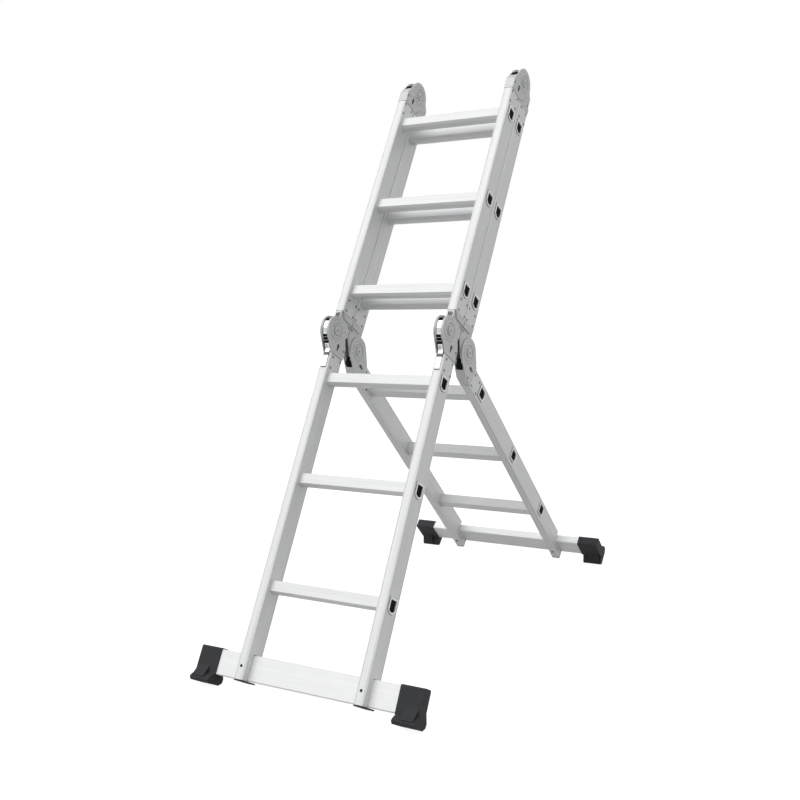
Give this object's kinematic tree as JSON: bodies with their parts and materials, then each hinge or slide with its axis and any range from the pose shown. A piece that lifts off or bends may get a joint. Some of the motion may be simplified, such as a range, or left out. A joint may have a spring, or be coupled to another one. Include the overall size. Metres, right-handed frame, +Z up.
{
  "type": "multi position ladder",
  "caption": "Folding multi position ladder of four hinged sections, standing as a stepladder with straight stabiliser bars on rubber feet.",
  "frame": {"origin": "on the floor, under the middle of the bounding box", "axes": "+Z up, +X along the rungs, -Y towards the front leg that the user climbs"},
  "size_m": [0.632, 1.2316, 1.4912],
  "materials": {
    "aluminium": "brushed",
    "rung": "ribbed, satin",
    "zinc_steel": "zinc plated",
    "chrome": "polished",
    "black_steel": "blackened",
    "rubber": "matt"
  },
  "bodies": {
    "upper_front_section": {"upper_front_stile_left": "aluminium", "upper_front_stile_right": "aluminium", "upper_front_rung_1": "rung", "upper_front_rung_2": "rung", "upper_front_rung_3": "rung", "top_lock_bracket_left": "zinc_steel", "top_pivot_pin_left": "zinc_steel", "top_lock_bracket_right": "zinc_steel", "top_pivot_pin_right": "zinc_steel", "front_disc_bracket_left": "zinc_steel", "front_disc_bracket_right": "zinc_steel"},
    "lower_front_section": {"lower_front_stile_left": "aluminium", "lower_front_stile_right": "aluminium", "lower_front_rung_1": "rung", "lower_front_rung_2": "rung", "lower_front_rung_3": "rung", "lower_front_stabiliser_bar": "aluminium", "lower_front_foot_left": "rubber", "lower_front_end_cap_left": "rubber", "lower_front_foot_right": "rubber", "lower_front_end_cap_right": "rubber", "front_lock_bracket_left": "zinc_steel", "front_pivot_pin_left": "zinc_steel", "front_lock_bracket_right": "zinc_steel", "front_pivot_pin_right": "zinc_steel"},
    "upper_rear_section": {"upper_rear_stile_left": "aluminium", "upper_rear_stile_right": "aluminium", "upper_rear_rung_1": "rung", "upper_rear_rung_2": "rung", "upper_rear_rung_3": "rung", "top_disc_bracket_left": "zinc_steel", "top_disc_bracket_right": "zinc_steel", "rear_disc_bracket_left": "zinc_steel", "rear_disc_bracket_right": "zinc_steel"},
    "lower_rear_section": {"lower_rear_stile_left": "aluminium", "lower_rear_stile_right": "aluminium", "lower_rear_rung_1": "rung", "lower_rear_rung_2": "rung", "lower_rear_rung_3": "rung", "lower_rear_stabiliser_bar": "aluminium", "lower_rear_foot_left": "rubber", "lower_rear_end_cap_left": "rubber", "lower_rear_foot_right": "rubber", "lower_rear_end_cap_right": "rubber", "rear_lock_bracket_left": "zinc_steel", "rear_pivot_pin_left": "zinc_steel", "rear_lock_bracket_right": "zinc_steel", "rear_pivot_pin_right": "zinc_steel"},
    "front_lock_left": {"front_lock_pin_left": "black_steel", "front_release_lever_left": "chrome"},
    "front_lock_right": {"front_lock_pin_right": "black_steel", "front_release_lever_right": "chrome"},
    "rear_lock_left": {"rear_lock_pin_left": "black_steel", "rear_release_lever_left": "chrome"},
    "rear_lock_right": {"rear_lock_pin_right": "black_steel", "rear_release_lever_right": "chrome"},
    "top_lock_left": {"top_lock_pin_left": "black_steel", "top_release_lever_left": "chrome"},
    "top_lock_right": {"top_lock_pin_right": "black_steel", "top_release_lever_right": "chrome"}
  },
  "joints": [
    {"name": "front_fold", "type": "hinge", "parent": "upper_front_section", "child": "lower_front_section", "pos_m": [0, -0.09968, 0.81656], "axis": [-1, 0, 0], "range_deg": [0, 182.1]},
    {"name": "top_fold", "type": "hinge", "parent": "upper_front_section", "child": "upper_rear_section", "pos_m": [0, 0.4291, 1.4514], "axis": [1, 0, 0], "range_deg": [0, 180]},
    {"name": "rear_fold", "type": "hinge", "parent": "upper_rear_section", "child": "lower_rear_section", "pos_m": [0, -0.00146, 0.74624], "axis": [1, 0, 0], "range_deg": [-74.16, 96.34]},
    {"name": "front_lock_left_slide", "type": "slide", "parent": "lower_front_section", "child": "front_lock_left", "axis": [0, 0.5519, 0.8339], "range_m": [0, 0.0046]},
    {"name": "front_lock_right_slide", "type": "slide", "parent": "lower_front_section", "child": "front_lock_right", "axis": [0, 0.5519, 0.8339], "range_m": [0, 0.0046]},
    {"name": "rear_lock_left_slide", "type": "slide", "parent": "lower_rear_section", "child": "rear_lock_left", "axis": [0, -0.6569, 0.754], "range_m": [0, 0.0046]},
    {"name": "rear_lock_right_slide", "type": "slide", "parent": "lower_rear_section", "child": "rear_lock_right", "axis": [0, -0.6569, 0.754], "range_m": [0, 0.0046]},
    {"name": "top_lock_left_slide", "type": "slide", "parent": "upper_front_section", "child": "top_lock_left", "axis": [0, 0.5821, 0.8131], "range_m": [0, 0.0046]},
    {"name": "top_lock_right_slide", "type": "slide", "parent": "upper_front_section", "child": "top_lock_right", "axis": [0, 0.5821, 0.8131], "range_m": [0, 0.0046]}
  ]
}
